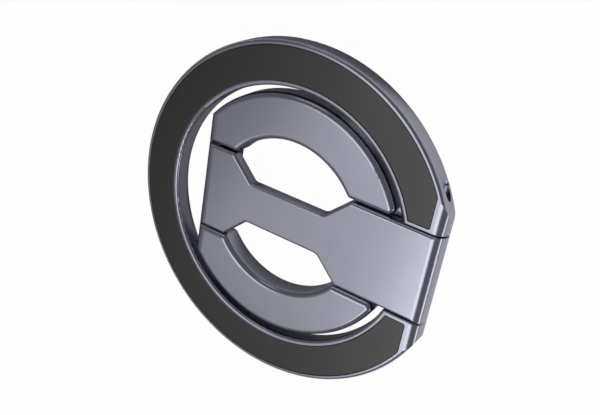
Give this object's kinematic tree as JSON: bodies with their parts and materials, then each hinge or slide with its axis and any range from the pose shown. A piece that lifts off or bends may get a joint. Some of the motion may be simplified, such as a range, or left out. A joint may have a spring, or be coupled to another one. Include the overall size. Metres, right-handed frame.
{
  "type": "phone ring holder",
  "caption": "Flat magnetic ring for the back of a phone, with a hinged arm and a hinged finger ring that fold flat into it.",
  "frame": {"origin": "on the phone-side face, under the middle of the folded part's outline; the base ring's centre is 0.95 mm along +X from it", "axes": "+Z from the phone to the visible face, +X from the finger ring's hinge to the arm's hinge, +Y along both hinge axes"},
  "size_m": [0.0582, 0.06, 0.0041],
  "materials": {
    "metal_base": "satin blue-grey anodised",
    "metal_arm": "satin blue-grey anodised",
    "metal_finger_ring": "satin blue-grey anodised",
    "soft_inlay": "matte black soft skin",
    "grip_rubber": "matte black silicone",
    "cover_sheet": "thin black sheet",
    "yoke_steel": "plain steel",
    "magnet_nickel": "nickel plated",
    "pin_steel": "ground steel",
    "sleeve_bronze": "bronze",
    "washer_plastic": "black nylon"
  },
  "bodies": {
    "base": {"base_ring": "metal_base", "front_inlay": "soft_inlay", "grip_ring": "grip_rubber", "magnet_cover": "cover_sheet", "magnet_yoke": "yoke_steel", "magnet_01": "magnet_nickel", "magnet_02": "magnet_nickel", "magnet_03": "magnet_nickel", "magnet_04": "magnet_nickel", "magnet_05": "magnet_nickel", "magnet_06": "magnet_nickel", "magnet_07": "magnet_nickel", "magnet_08": "magnet_nickel", "magnet_09": "magnet_nickel", "magnet_10": "magnet_nickel", "magnet_11": "magnet_nickel", "magnet_12": "magnet_nickel", "magnet_13": "magnet_nickel", "magnet_14": "magnet_nickel", "magnet_15": "magnet_nickel", "magnet_16": "magnet_nickel", "arm_hinge_pin": "pin_steel", "arm_washer_upper": "washer_plastic", "arm_washer_lower": "washer_plastic"},
    "arm": {"arm": "metal_arm", "arm_friction_sleeve": "sleeve_bronze", "ring_friction_sleeve": "sleeve_bronze"},
    "finger_ring": {"finger_ring": "metal_finger_ring", "ring_hinge_pin": "pin_steel", "ring_washer_upper": "washer_plastic", "ring_washer_lower": "washer_plastic"}
  },
  "joints": [
    {"name": "arm_hinge", "type": "hinge", "parent": "base", "child": "arm", "pos_m": [0.02705, 0, 0.00215], "axis": [0, 1, 0], "range_deg": [0, 180]},
    {"name": "ring_hinge", "type": "hinge", "parent": "arm", "child": "finger_ring", "pos_m": [-0.01455, 0, 0.00215], "axis": [0, 1, 0], "range_deg": [0, 135]}
  ]
}
